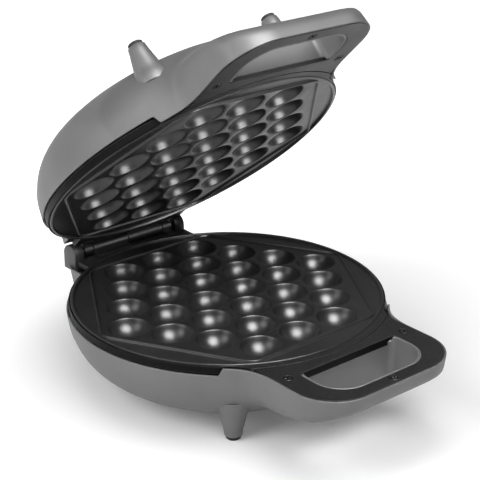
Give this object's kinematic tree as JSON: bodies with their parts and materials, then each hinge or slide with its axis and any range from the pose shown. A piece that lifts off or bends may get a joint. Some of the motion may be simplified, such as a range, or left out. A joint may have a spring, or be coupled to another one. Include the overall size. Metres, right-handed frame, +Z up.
{
  "type": "bubble waffle maker",
  "caption": "Hinged round electric cooking iron with two facing non-stick plates of hexagonally packed half-round pits and a looped handle on each half, lid held part open.",
  "frame": {"origin": "centre of the bounding box's base with the lid as pictured, on the level the foot pads stand on", "axes": "+X to the right along the hinge as seen from the handles, +Y from the handles to the hinge, +Z up"},
  "size_m": [0.1854, 0.2567, 0.2278],
  "materials": {
    "shell_plastic": "satin, finely textured moulding",
    "frame_plastic": "black satin moulding",
    "coated_plate": "dark non-stick coating on cast aluminium",
    "steel": "zinc plated",
    "dark_steel": "blackened steel",
    "heater_steel": "oxidised steel sheath",
    "reflector_sheet": "bright pressed sheet",
    "foot_rubber": "matt rubber",
    "lead_silicone": "silicone covered lead",
    "thermostat_body": "ceramic-like body",
    "terminal_plastic": "plain white block",
    "gland_rubber": "matt rubber"
  },
  "bodies": {
    "base": {"lower_shell": "shell_plastic", "lower_frame": "frame_plastic", "lower_plate": "coated_plate", "lower_plate_screws": "steel", "lower_trim_screws": "dark_steel", "lower_shell_screws": "steel", "lower_heater": "heater_steel", "lower_heater_clamps": "steel", "lower_reflector": "reflector_sheet", "lower_foot_pads": "foot_rubber", "lower_wiring": "lead_silicone", "thermostat": "thermostat_body", "thermal_fuse": "steel", "terminal_block": "terminal_plastic", "cord_gland": "gland_rubber", "hinge_pin": "steel"},
    "lid": {"upper_shell": "shell_plastic", "upper_frame": "frame_plastic", "upper_plate": "coated_plate", "upper_plate_screws": "steel", "upper_trim_screws": "dark_steel", "upper_shell_screws": "steel", "upper_heater": "heater_steel", "upper_heater_clamps": "steel", "upper_reflector": "reflector_sheet", "upper_foot_pads": "foot_rubber"}
  },
  "joints": [
    {"name": "lid_hinge", "type": "hinge", "parent": "base", "child": "lid", "pos_m": [0, 0.11464, 0.0525], "axis": [-1, 0, 0], "range_deg": [-43.8, 56]}
  ]
}
